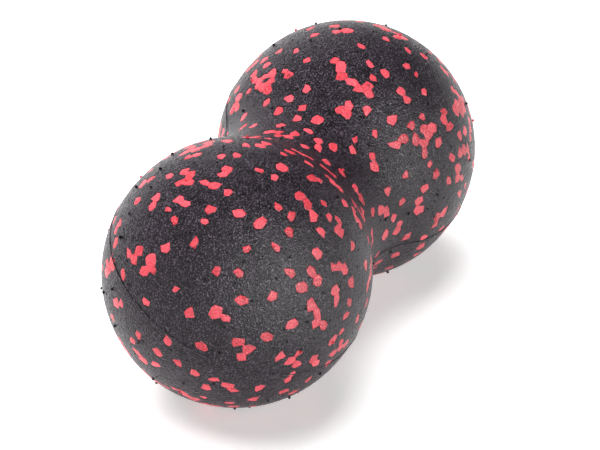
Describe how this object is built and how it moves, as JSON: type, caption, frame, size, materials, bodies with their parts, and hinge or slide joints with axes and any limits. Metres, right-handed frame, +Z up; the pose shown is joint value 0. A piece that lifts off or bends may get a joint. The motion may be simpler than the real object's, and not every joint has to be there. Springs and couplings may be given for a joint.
{
  "type": "massage roller",
  "caption": "Twin-lobe, peanut-shaped massage roller moulded in one piece from fused foam beads, with a concave waist between two round lobes.",
  "frame": {"origin": "on the surface the roller rests on, under the middle of the waist", "axes": "+X along the roller's long axis, through both lobes; +Z up; the mould's parting plane is tilted 25 degrees from level about X"},
  "size_m": [0.1618, 0.081, 0.0804],
  "materials": {
    "black_foam": "moulded bead foam, matt with a fine sparkle",
    "red_foam": "coral red foam bead, matt with a fine sparkle"
  },
  "bodies": {
    "root": {"foam_body": "black_foam", "red_beads_left_upper": "red_foam", "red_beads_left_lower": "red_foam", "red_beads_right_upper": "red_foam", "red_beads_right_lower": "red_foam", "red_beads_waist": "red_foam", "vent_pips_left_upper": "black_foam", "vent_pips_left_lower": "black_foam", "vent_pips_right_upper": "black_foam", "vent_pips_right_lower": "black_foam", "vent_pips_waist": "black_foam", "parting_ridge": "black_foam"}
  },
  "joints": []
}
